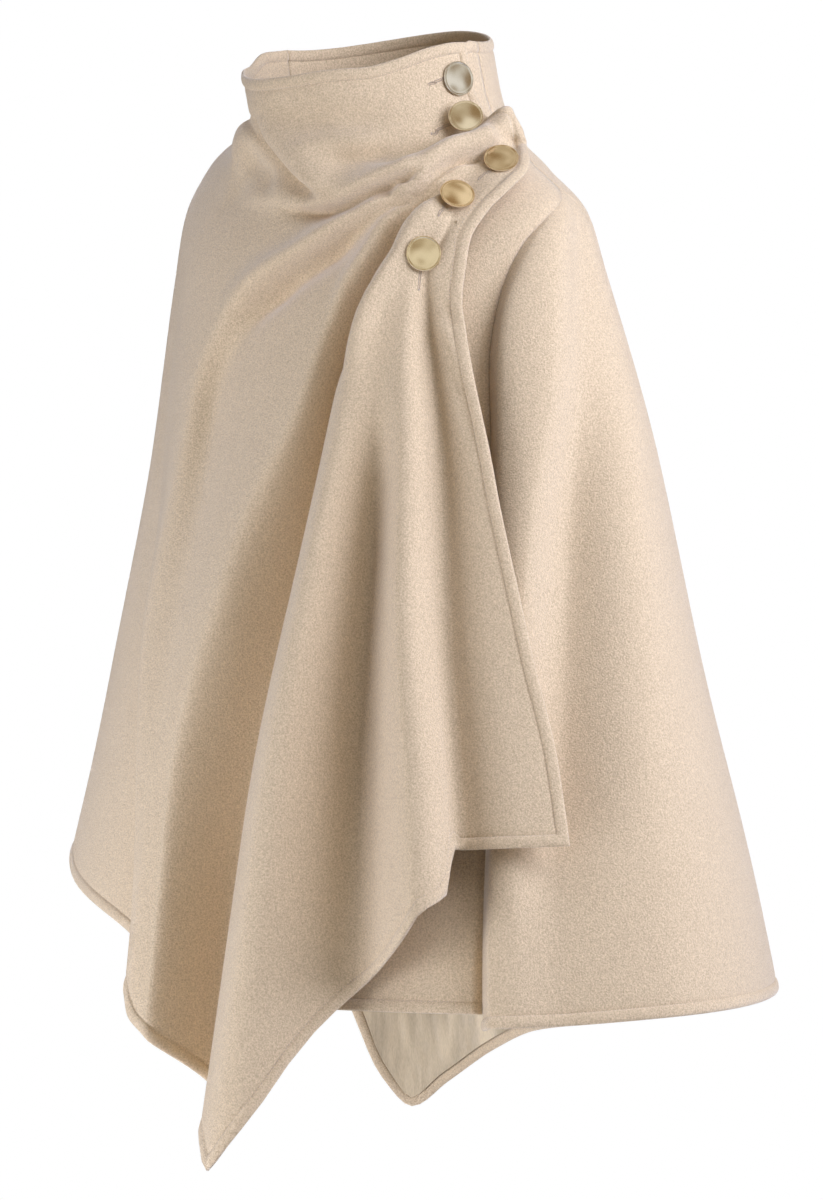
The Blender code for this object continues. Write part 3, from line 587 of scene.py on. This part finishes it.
class Graph:
    """Short calls for building a material's nodes."""

    def __init__(self, name):
        self.material = bpy.data.materials.new(name)
        self.material.use_nodes = True
        self.tree = self.material.node_tree
        self.tree.nodes.clear()
        self.out = self.tree.nodes.new("ShaderNodeOutputMaterial")
        self.shader = self.tree.nodes.new("ShaderNodeBsdfPrincipled")
        self.tree.links.new(self.shader.outputs[0], self.out.inputs[0])
        self.place = self.tree.nodes.new("ShaderNodeTexCoord").outputs["Object"]

    def node(self, kind, inputs=(), **settings):
        made = self.tree.nodes.new(kind)
        for key, value in settings.items():
            setattr(made, key, value)
        for key, value in dict(inputs).items():
            if isinstance(value, bpy.types.NodeSocket):
                self.tree.links.new(value, made.inputs[key])
            else:
                made.inputs[key].default_value = value
        return made

    def noise(self, scale, detail=3.0, rough=0.55, warp=0.0, place=None):
        return self.node("ShaderNodeTexNoise", {"Vector": place or self.place, "Scale": scale, "Detail": detail, "Roughness": rough, "Distortion": warp}).outputs["Fac"]

    def stretched(self, along_xyz, turn=(0, 0, 0)):
        return self.node("ShaderNodeMapping", {"Vector": self.place, "Scale": along_xyz, "Rotation": turn}).outputs[0]

    def math(self, how, a, b=0.0, clamp=False):
        return self.node("ShaderNodeMath", {0: a, 1: b}, operation=how, use_clamp=clamp).outputs[0]

    def ramp(self, value, *stops):
        made = self.node("ShaderNodeValToRGB", {"Fac": value})
        ramp = made.color_ramp
        ramp.elements[0].position, ramp.elements[0].color = stops[0][0], (*stops[0][1], 1)
        ramp.elements[1].position, ramp.elements[1].color = stops[-1][0], (*stops[-1][1], 1)
        for position, colour in stops[1:-1]:
            ramp.elements.new(position).color = (*colour, 1)
        return made.outputs["Color"]

    def mix(self, a, b, share, how="MIX"):
        made = self.node("ShaderNodeMix", data_type="RGBA", blend_type=how, clamp_factor=True)
        for socket, value in ((made.inputs[0], share), (made.inputs[6], a), (made.inputs[7], b)):
            if isinstance(value, bpy.types.NodeSocket):
                self.tree.links.new(value, socket)
            else:
                socket.default_value = value if isinstance(value, float) else (*value, 1)
        return made.outputs[2]

    def bump(self, height, strength, distance, under=None):
        inputs = {"Height": height, "Strength": strength, "Distance": distance}
        if under is not None:
            inputs["Normal"] = under
        return self.node("ShaderNodeBump", inputs).outputs[0]

    def set(self, **values):
        for key, value in values.items():
            socket = self.shader.inputs[key.replace("_", " ")]
            if isinstance(value, bpy.types.NodeSocket):
                self.tree.links.new(value, socket)
            else:
                socket.default_value = value


def wool(name, light, dark, nap=1.0):
    """Felted melton: a short dense nap with lighter fibre tips, darker gaps and a faint cloudiness."""
    g = Graph(name)
    grain = g.noise(760.0, 3.0, 0.66)
    fine = g.noise(1700.0, 2.0, 0.6)
    clumps = g.noise(330.0, 4.0, 0.62, 0.5)
    cloud = g.noise(22.0, 3.0, 0.5)
    fibres = g.noise(1000.0, 2.0, 0.5, 0.0, g.stretched((1.0, 1.0, 0.28)))
    tips = g.ramp(grain, (0.34, dark), (0.50, tuple((a + b) / 2 for a, b in zip(light, dark))), (0.66, light))
    gaps = g.ramp(clumps, (0.36, dark), (0.60, light))
    base = g.mix(tips, gaps, 0.14)
    base = g.mix(base, g.ramp(cloud, (0.32, tuple(0.80 * c for c in light)), (0.68, tuple(0.88 * c for c in light))), 0.16)
    g.set(Base_Color=base, Roughness=0.92)
    g.shader.inputs["Specular IOR Level"].default_value = 0.18
    g.shader.inputs["Sheen Weight"].default_value = 0.75
    g.shader.inputs["Sheen Roughness"].default_value = 0.45
    g.shader.inputs["Sheen Tint"].default_value = (1.0, 0.93, 0.84, 1)
    first = g.bump(clumps, 0.28 * nap, 0.0009)
    second = g.bump(grain, 0.95 * nap, 0.0009, first)
    third = g.bump(fibres, 0.40 * nap, 0.0005, second)
    g.set(Normal=g.bump(fine, 0.40 * nap, 0.0003, third))
    return g.material


def satin(name, light, dark):
    """Lining satin: a smooth warp face whose fine threads spread the shine across it, with painted shade darkening its
    colour in the hollows of its long folds.
    """
    g = Graph(name)
    threads = g.noise(1400.0, 2.0, 0.5, 0.0, g.stretched((1.0, 1.0, 0.04)))
    slub = g.noise(60.0, 3.0, 0.5, 0.0, g.stretched((1.0, 1.0, 0.12)))
    folds = g.noise(42.0, 2.0, 0.5, 0.2, g.stretched((1.0, 1.0, 0.09)))
    ripple = g.noise(95.0, 3.0, 0.5, 0.3, g.stretched((1.0, 1.0, 0.16), (0.0, 0.12, 0.0)))
    base = g.mix(g.ramp(threads, (0.35, dark), (0.65, light)), g.ramp(slub, (0.35, dark), (0.65, light)), 0.45)
    # painted shade: the long fold streaks that the bump below also draws darken the colour in their hollows, to below
    # the satin's own dark tone, standing in for the shade in the lining's wrinkles
    base = g.mix(base, g.ramp(folds, (0.42, tuple(0.75 * c for c in dark)), (0.60, light)), 0.42)
    g.set(Base_Color=base, Metallic=0.0)
    g.shader.inputs["Roughness"].default_value = 0.34
    g.shader.inputs["Specular IOR Level"].default_value = 0.75
    g.shader.inputs["Anisotropic"].default_value = 0.5
    g.shader.inputs["Sheen Weight"].default_value = 0.15
    first = g.bump(ripple, 0.55, 0.0022, g.bump(folds, 0.8, 0.006))
    g.set(Normal=g.bump(threads, 0.12, 0.0002, first))
    return g.material


def gold(name, tint, rough):
    """Polished plated brass with the faint drift of a hand buff and fine hairlines."""
    g = Graph(name)
    drift = g.noise(70.0, 2.0, 0.5)
    lines = g.noise(2600.0, 2.0, 0.5, 0.0, g.stretched((1.0, 0.1, 1.0)))
    g.set(Base_Color=g.mix(tint, tuple(0.93 * c for c in tint), drift), Metallic=1.0)
    g.set(Roughness=g.math("ADD", g.math("MULTIPLY", lines, 0.03), rough))
    g.set(Normal=g.bump(drift, 0.03, 0.0004))
    return g.material


def thread(name, light, dark):
    """Matt spun thread."""
    g = Graph(name)
    twist = g.noise(2600.0, 2.0, 0.5)
    g.set(Base_Color=g.ramp(twist, (0.35, dark), (0.65, light)), Roughness=0.8)
    g.shader.inputs["Specular IOR Level"].default_value = 0.25
    g.set(Normal=g.bump(twist, 0.3, 0.0002))
    return g.material


LIGHT = (0.865, 0.678, 0.432)
DARK = (0.49, 0.356, 0.205)
front_wool = wool("front_wool", LIGHT, DARK)
side_wool = wool("side_wool", LIGHT, DARK)
back_wool = wool("back_wool", LIGHT, DARK)
under_wool = wool("under_wool", LIGHT, DARK)
lining_satin = satin("lining_satin", (0.74, 0.585, 0.35), (0.44, 0.335, 0.19))
seam_thread = thread("seam_thread", (0.62, 0.49, 0.36), (0.48, 0.37, 0.26))
hole_thread = thread("hole_thread", (0.66, 0.54, 0.42), (0.42, 0.33, 0.24))

# ---------------------------------------------------------------- cloth panels

front_lines = [fold_line(row) for row in FRONT_FOLDS] + [edge_line(FRONT_EDGE)]
front_hem_u = [r[0] for r in FRONT_HEM]
front_hem_z = [r[1] for r in FRONT_HEM]


def front_relief(base, way, angle, level):
    return creased(base, way, CREASES) + creased(base, way, ROLLS, roll_profile)


front_points, front_u, front_t = sheet_grid(
    front_lines, even(front_lines, 0.0038, (3.6, 4.5, 6.2))[:-1], 226, lambda u, a: float(along(front_hem_u, front_hem_z, u)[0]), relief=front_relief, rim=lambda a: float(along([r[0] for r in FRONT_RIM], [r[1] for r in FRONT_RIM], a)[0]) / 42
)
front, front_outer, front_n = shell("front", front_points, WOOL, ("right",), made=front_wool)

under_lines = [edge_line(UNDER_EDGE)] + [fold_line(r) for r in UNDER_FOLDS] + [joined(SHOULDER_SEAM, FRONT_SEAM)]
under_points, _u, _t = sheet_grid(under_lines, even(under_lines, 0.008, (6.4,))[1:], 110, lambda u, a: UNDER_HEM, free=("left",), rim=lambda a: (3 + float(np.interp(a, [r[0] for r in FRONT_RIM], [r[1] for r in FRONT_RIM]))) * min(max((93 - a) / 9, 0), 1) / 42)
under, under_outer, under_n = shell("left_front_panel", under_points, WOOL, ("left",), made=under_wool)

side_lines = [edge_line(FRONT_SEAM)] + [side_line(r, f) for r, f in zip(SIDE_FOLDS, (0.12, 0.3, 0.55, 0.8))] + [edge_line(BACK_SEAM)]
side_points, _u, _t = sheet_grid(
    side_lines, even(side_lines, 0.0045, (7.0,)), 150, lambda u, a: float(along([r[0] for r in SIDE_HEM], [r[1] for r in SIDE_HEM], a)[0]),
    top=3.66, free=(), top_free=False, share_above=0.4,
)
side, side_outer, side_n = shell("left_side_panel", side_points, WOOL, (), top_free=False, made=side_wool)

back_lines = [joined(SHOULDER_SEAM, BACK_SEAM)] + [fold_line(r) for r in BACK_FOLDS] + [lambda level: (np.full_like(level, 260.0), np.zeros_like(level))]
back_points, back_u, back_t = sheet_grid(
    back_lines, even(back_lines, 0.0058, (7.0,)), 150, lambda u, a: float(along([r[0] for r in BACK_HEM], [r[1] for r in BACK_HEM], a)[0]), free=(),
)
back, back_outer, back_n = shell("back_panel", back_points, WOOL, (), made=back_wool)

# the lining follows the back's inner face from the shoulder to the turned hem
below = int(np.argmax((back_t > 3.62).all(0)))
inner_face = back_points - back_n * (WOOL + 0.0011)
lining_rows = inner_face[2:-2, below:-STITCH_AT]
lining_n = back_n[2:-2, below:-STITCH_AT]
lining, _o, _n = shell("lining", lining_rows, SATIN, (), top_free=False, bottom_free=False, seam_dip=0.0, made=lining_satin)

cloth = {"front": (front, "front_overlap"), "under": (under, "left_front"), "side": (side, "left_side"), "back": (back, "back"), "lining": (lining, "back_lining")}
for piece, node in cloth.values():
    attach(piece, "root")
    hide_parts(node)

# ---------------------------------------------------------------- stitches


def stitches(name, paths, made, pitch=0.0031, length=0.0021, wide=0.00030, high=0.00022, sink=0.0002):
    """Short raised threads along each path of (points, normals)."""
    verts, faces = [], []
    for line, ways in paths:
        line, ways = np.asarray(line), np.asarray(ways)
        s = np.concatenate([[0], np.cumsum(np.linalg.norm(np.diff(line, axis=0), axis=1))])
        for c in np.arange(pitch / 2, s[-1] - pitch / 2, pitch):
            at = lambda q, rows: np.array([np.interp(q, s, rows[:, i]) for i in range(3)])
            a, b = at(c - length / 2, line), at(c + length / 2, line)
            way = at(c, ways)
            run = (b - a) / np.linalg.norm(b - a)
            across = np.cross(way, run)
            across /= np.linalg.norm(across)
            up = np.cross(run, across)
            first = len(verts)
            for share, size, lift in ((0.0, 0.25, -0.6), (0.2, 0.9, 0.6), (0.5, 1.0, 1.0), (0.8, 0.9, 0.6), (1.0, 0.25, -0.6)):
                mid = a + (b - a) * share + up * (lift * high - sink)
                for k in range(5):
                    t = 2 * math.pi * k / 5
                    verts.append(tuple(mid + across * (math.cos(t) * wide * size) + up * (math.sin(t) * high * size)))
            for r in range(4):
                for k in range(5):
                    p, q = first + r * 5 + k, first + r * 5 + (k + 1) % 5
                    faces.append((p, q, q + 5, p + 5))
            faces.append(tuple(first + k for k in range(5))[::-1])
            faces.append(tuple(first + 20 + k for k in range(5)))
    mesh = bpy.data.meshes.new(name)
    mesh.from_pydata(verts, [], faces)
    mesh.update()
    mesh.shade_smooth()
    mesh.materials.append(made)
    obj = bpy.data.objects.new(name, mesh)
    bpy.context.scene.collection.objects.link(obj)
    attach(obj, "root")
    return obj


k = STITCH_AT


def rim_and_hem(outer, n, free):
    a = k if "left" in free else 1
    b = -1 - k if "right" in free else -2
    rows = slice(a, b)
    found = [(outer[rows, k], n[rows, k]), (outer[rows, -1 - k], n[rows, -1 - k])]
    if "right" in free:
        found.append((outer[-1 - k, k : -k], n[-1 - k, k : -k]))
    if "left" in free:
        found.append((outer[k, k : -k], n[k, k : -k]))
    return found


front_stitches = stitches("front_stitches", rim_and_hem(front_outer, front_n, ("right",)), seam_thread)
under_stitches = stitches("left_front_stitches", rim_and_hem(under_outer, under_n, ("left",)), seam_thread)
side_stitches = stitches("left_side_stitches", rim_and_hem(side_outer, side_n, ())[1:], seam_thread)
back_stitches = stitches("back_stitches", rim_and_hem(back_outer, back_n, ()), seam_thread)


# ---------------------------------------------------------------- buttons and buttonholes

def lathe(profile, steps=72):
    verts, faces = [], []
    for i in range(steps):
        a = 2 * math.pi * i / steps
        verts += [(r * math.cos(a), r * math.sin(a), z) for r, z in profile]
    n = len(profile)
    for i in range(steps):
        j = (i + 1) % steps
        faces += [(i * n + m, j * n + m, j * n + m + 1, i * n + m + 1) for m in range(n - 1)]
    faces.append([i * n for i in range(steps)][::-1])
    faces.append([i * n + n - 1 for i in range(steps)])
    return verts, faces


BUTTON_PROFILE = (  # radius and height in mm: a short stem, a dished underside, a rolled rim and a slightly domed face
    (0.9, 0.0), (3.2, 0.0), (3.2, 1.0), (8.0, 0.95), (12.6, 1.15), (13.5, 1.5), (14.0, 2.0), (14.2, 2.45), (14.15, 2.85), (13.85, 3.14),
    (13.4, 3.22), (13.05, 3.14), (12.8, 2.94), (12.5, 2.80), (12.0, 2.82), (10.5, 3.0), (8.5, 3.22), (6.0, 3.42), (3.5, 3.54), (0.6, 3.58),
)
# How a button leans in its hole: how far it turns towards where the front is seen from, in degrees
LEANS = (6, 2, 2, -14, 4)
# Painted reflection: each button's gold gets its own tint, from near white to deep orange, standing in for what it
# mirrors of the studio; the five buttons are of one metal.
REFLECTION_TINTS = ((0.86, 0.83, 0.78), (0.90, 0.79, 0.60), (0.84, 0.68, 0.46), (0.95, 0.75, 0.49), (0.86, 0.73, 0.50))


def leant(axis, number):
    """The button's own axis after its lean about an upright front line at 38 degrees."""
    front_way = np.array([math.sin(math.radians(38)), -math.cos(math.radians(38)), 0.0])
    turn = min(math.radians(LEANS[number - 1]), math.acos(float(axis @ front_way)) * 0.9)
    side = front_way - axis * float(axis @ front_way)
    side /= np.linalg.norm(side)
    return axis * math.cos(turn) + side * math.sin(turn)


for number in range(1, 6):
    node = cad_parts[f"button_{number}"]
    p = np.array([v.co for v in node.data.vertices])
    centre = p.mean(0)
    values, vectors = np.linalg.eigh(np.cov((p - centre).T))
    axis = vectors[:, 0]
    if axis @ (centre - np.array([0, 0, centre[2] - 0.02])) < 0:
        axis = -axis
    foot = centre + axis * ((p - centre) @ axis).min()
    flat = p - foot
    flat = flat - np.outer(flat @ axis, axis)
    middle = foot + (flat.max(0) + flat.min(0)) / 2
    z = leant(axis, number)
    near = front_outer.reshape(-1, 3) - middle
    high = near @ z
    away = np.linalg.norm(near - np.outer(high, z), axis=1)
    under_disc = (away < 14.4 * MM) & (away > 3.4 * MM) & (abs(high) < 0.02)
    lift = (high[under_disc] - np.interp(away[under_disc] / MM, (8.0, 12.6, 13.5, 14.2), (0.95, 1.15, 1.5, 2.3)) * MM).max() + 0.1 * MM
    under_stem = high[(away < 6 * MM) & (abs(high) < 0.02)].max() - lift
    middle = middle + z * lift
    verts, faces = lathe([(r * MM, min(h * MM, under_stem + 0.1 * MM) if h == 0.0 else h * MM) for r, h in BUTTON_PROFILE])
    x = np.cross([0.0, 0.0, 1.0], z)
    x /= np.linalg.norm(x)
    y = np.cross(z, x)
    mesh = bpy.data.meshes.new(f"gold_button_{number}")
    mesh.from_pydata([tuple(middle + v[0] * x + v[1] * y + v[2] * z) for v in verts], [], faces)
    mesh.update()
    mesh.shade_smooth()
    # the plate's colour is this button's painted reflection tint
    mesh.materials.append(gold(f"plate_{number}", REFLECTION_TINTS[number - 1], 0.13))
    obj = bpy.data.objects.new(f"gold_button_{number}", mesh)
    bpy.context.scene.collection.objects.link(obj)
    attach(obj, "root")
    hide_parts(f"button_{number}")


front_tree = KDTree(front_outer.shape[0] * front_outer.shape[1])
front_flat = front_outer.reshape(-1, 3)
front_way = front_n.reshape(-1, 3)
for i, p in enumerate(front_flat):
    front_tree.insert(p, i)
front_tree.balance()


def on_front(angle, level):
    """The drawn front's own point and normal nearest to this place on the smooth form."""
    base = ring(np.array([float(angle)]), np.array([float(level)]))[0]
    way = outward(np.array([float(angle)]), np.array([float(level)]))[0]
    found = front_tree.find_n(base + way * 0.012, 6)
    index = [f[1] for f in found]
    return front_flat[index].mean(0), front_way[index].mean(0) / np.linalg.norm(front_way[index].mean(0))


# Worked buttonholes: name, ends as (angle, level), the button's end first
HOLES = (
    ("hole_1", (70.0, 0.82), (62.4, 0.92)),
    ("hole_2", (67.5, 2.13), (58.6, 2.17)),
    ("hole_3", (66.0, 3.36), (60.5, 3.40)),
    ("hole_4", (49.0, 3.56), (44.8, 3.74)),
    ("hole_5", (39.0, 4.25), (38.7, 4.66)),
)
hole_paths = []
for _name, first, second in HOLES:
    pts, ways = [], []
    for s in np.linspace(0, 1, 25):
        p, w = on_front(first[0] + (second[0] - first[0]) * s, first[1] + (second[1] - first[1]) * s)
        pts.append(p)
        ways.append(w)
    hole_paths.append((np.array(pts), np.array(ways)))


def worked_holes(name, paths, made):
    """The close cross stitches down both lips of each slit, and the bar at its end."""
    verts, faces = [], []

    def bar(a, b, up, r):
        run = (b - a) / np.linalg.norm(b - a)
        across = np.cross(up, run)
        across /= np.linalg.norm(across)
        first = len(verts)
        for share, size, lift in ((0.0, 0.5, -0.9), (0.25, 1.0, 0.5), (0.5, 1.0, 0.9), (0.75, 1.0, 0.5), (1.0, 0.5, -0.9)):
            mid = a + (b - a) * share + up * lift * r
            for q in range(5):
                t = 2 * math.pi * q / 5
                verts.append(tuple(mid + across * (math.cos(t) * r * size) + up * (math.sin(t) * r * size)))
        for i in range(4):
            for q in range(5):
                m, w = first + i * 5 + q, first + i * 5 + (q + 1) % 5
                faces.append((m, w, w + 5, m + 5))
        faces.append(tuple(first + q for q in range(5))[::-1])
        faces.append(tuple(first + 20 + q for q in range(5)))

    for line, ways in paths:
        s = np.concatenate([[0], np.cumsum(np.linalg.norm(np.diff(line, axis=0), axis=1))])
        for c in np.arange(0.0004, s[-1], 0.00062):
            p = np.array([np.interp(c, s, line[:, i]) for i in range(3)])
            q = np.array([np.interp(min(c + 0.001, s[-1]), s, line[:, i]) for i in range(3)])
            o = np.array([np.interp(max(c - 0.001, 0), s, line[:, i]) for i in range(3)])
            up = np.array([np.interp(c, s, ways[:, i]) for i in range(3)])
            run = (q - o) / np.linalg.norm(q - o)
            side = np.cross(up, run)
            side /= np.linalg.norm(side)
            for turn in (-1, 1):
                bar(p + side * turn * 0.00022, p + side * turn * 0.0013, up, 0.00026)
        end, up = line[-1], ways[-1]
        run = (line[-1] - line[-2]) / np.linalg.norm(line[-1] - line[-2])
        side = np.cross(up, run)
        side /= np.linalg.norm(side)
        for i in range(3):
            bar(end + run * i * 0.0004 - side * 0.0013, end + run * i * 0.0004 + side * 0.0013, up, 0.00026)
    mesh = bpy.data.meshes.new(name)
    mesh.from_pydata(verts, [], faces)
    mesh.update()
    mesh.shade_smooth()
    mesh.materials.append(made)
    obj = bpy.data.objects.new(name, mesh)
    bpy.context.scene.collection.objects.link(obj)
    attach(obj, "root")
    return obj


holes = worked_holes("worked_buttonholes", hole_paths, hole_thread)

# ---------------------------------------------------------------- camera, floor, light

AZIMUTH = math.radians(38)
right = Vector((math.cos(AZIMUTH), math.sin(AZIMUTH), 0))
toward = Vector((math.sin(AZIMUTH), -math.cos(AZIMUTH), 0))
camera_data = bpy.data.cameras.new("camera")
camera = bpy.data.objects.new("camera", camera_data)
bpy.context.scene.collection.objects.link(camera)
camera_data.sensor_fit = "VERTICAL"
camera_data.sensor_height = 36
camera_data.lens = 3529 / 1200 * 36
camera.location = Vector((0, 0, -0.39)) + right * 0.0225 + toward * 3.0
camera.rotation_euler = (-toward).to_track_quat("-Z", "Y").to_euler()
bpy.context.scene.camera = camera

floor_mesh = bpy.data.meshes.new("floor")
rim = [(2.8 * math.cos(2 * math.pi * i / 96), 2.8 * math.sin(2 * math.pi * i / 96), -1.42) for i in range(96)]
floor_mesh.from_pydata(rim, [], [list(range(96))])
floor = bpy.data.objects.new("floor", floor_mesh)
bpy.context.scene.collection.objects.link(floor)
g = Graph("floor_paper")
g.set(Base_Color=g.mix((0.88, 0.88, 0.88), (0.84, 0.84, 0.84), g.noise(9.0)), Roughness=0.9)
floor_mesh.materials.append(g.material)


def softbox(name, azimuth, elevation, distance, size, power, colour=(1, 1, 1), aim=(0, 0, -0.38)):
    """A square area light, its azimuth taken from the camera's."""
    light = bpy.data.lights.new(name, "AREA")
    light.shape = "RECTANGLE"
    light.size, light.size_y = size
    light.energy = power
    light.color = colour
    lamp = bpy.data.objects.new(name, light)
    bpy.context.scene.collection.objects.link(lamp)
    a = AZIMUTH + math.radians(azimuth)
    e = math.radians(elevation)
    way = Vector((math.sin(a) * math.cos(e), -math.cos(a) * math.cos(e), math.sin(e)))
    lamp.location = Vector(aim) + way * distance
    lamp.rotation_euler = (-way).to_track_quat("-Z", "Y").to_euler()
    return lamp


lamp_left = softbox("key_left", -67, -4, 1.8, (0.9, 1.2), 34, (0.99, 1.07, 1.36), aim=(0, 0, -1.0))
lamp_right = softbox("key_right", 59, 24, 1.9, (1.3, 1.2), 37, (0.99, 1.07, 1.42))
lamp_top = softbox("top_front", 22, 44, 2.2, (1.2, 1.0), 10, (0.99, 1.05, 1.26))
softbox("rim_back", 178, 35, 3.0, (1.6, 1.2), 26)
lamp_left.visible_glossy = False
lamp_right.visible_glossy = False
lamp_top.visible_glossy = False

world = bpy.data.worlds.new("studio")
bpy.context.scene.world = world
world.use_nodes = True
nodes, links = world.node_tree.nodes, world.node_tree.links
nodes.clear()
output = nodes.new("ShaderNodeOutputWorld")
mix = nodes.new("ShaderNodeMixShader")
ray = nodes.new("ShaderNodeLightPath")
dim, bright = nodes.new("ShaderNodeBackground"), nodes.new("ShaderNodeBackground")
dim.inputs[0].default_value, dim.inputs[1].default_value = (1, 0.84, 0.62, 1), 0.13
bright.inputs[0].default_value, bright.inputs[1].default_value = (1, 1, 1, 1), 1.0
shine, second = nodes.new("ShaderNodeBackground"), nodes.new("ShaderNodeMixShader")
where = nodes.new("ShaderNodeTexCoord")
room = nodes.new("ShaderNodeTexNoise")
room.inputs["Scale"].default_value, room.inputs["Detail"].default_value = 3.1, 1.0
walls = nodes.new("ShaderNodeValToRGB")
for stop, colour in zip((walls.color_ramp.elements[0], walls.color_ramp.elements[1]), ((0.30, 0.21, 0.12, 1), (0.86, 0.83, 0.76, 1))):
    stop.color = colour
walls.color_ramp.elements[0].position, walls.color_ramp.elements[1].position = 0.40, 0.60
walls.color_ramp.elements.new(0.50).color = (0.52, 0.46, 0.36, 1)
links.new(where.outputs["Generated"], room.inputs["Vector"])
links.new(room.outputs["Fac"], walls.inputs["Fac"])
links.new(walls.outputs["Color"], shine.inputs[0])
shine.inputs[1].default_value = 1.0
links.new(ray.outputs["Is Glossy Ray"], second.inputs[0])
links.new(dim.outputs[0], second.inputs[1])
links.new(shine.outputs[0], second.inputs[2])
links.new(ray.outputs["Is Camera Ray"], mix.inputs[0])
links.new(second.outputs[0], mix.inputs[1])
links.new(bright.outputs[0], mix.inputs[2])
links.new(mix.outputs[0], output.inputs[0])
bpy.context.scene.view_settings.view_transform = "Standard"
